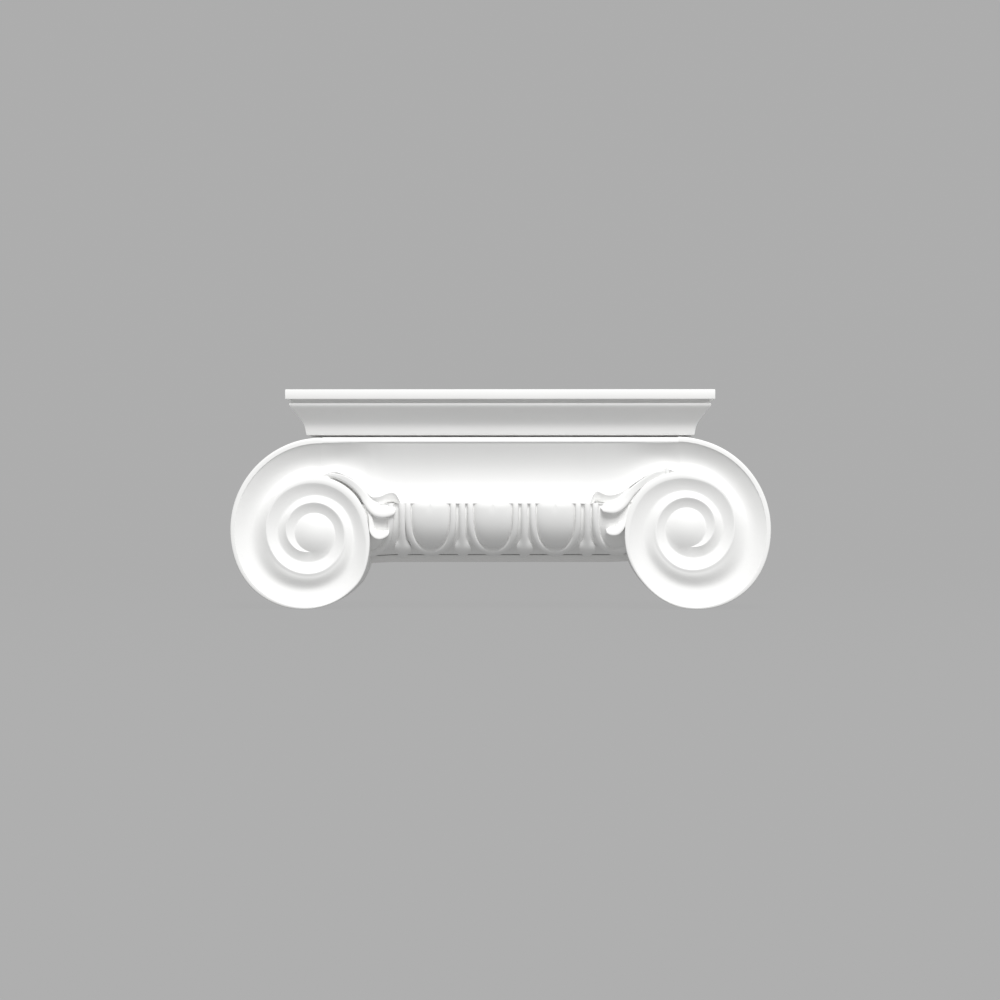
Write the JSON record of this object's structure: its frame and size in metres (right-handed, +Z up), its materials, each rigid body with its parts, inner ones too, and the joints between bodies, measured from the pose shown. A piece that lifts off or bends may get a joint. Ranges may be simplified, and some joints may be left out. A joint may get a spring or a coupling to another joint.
{
  "type": "ionic pilaster capital",
  "caption": "Moulded Ionic capital for a wall pilaster: scrolls at both ends, egg-and-dart ovolo, moulded abacus and a flat back.",
  "frame": {"origin": "under the middle of the capital, level with the undersides of the scrolls and half way between the wall and the abacus's front edge", "axes": "+X to the right as seen from the front, along the capital's length; +Y into the wall, so the front faces -Y; +Z up"},
  "size_m": [0.34, 0.072, 0.138],
  "materials": {
    "primed_polyurethane": "white factory primer on moulded rigid polyurethane, matt and even"
  },
  "bodies": {
    "root": {"capital": "primed_polyurethane"}
  },
  "joints": []
}
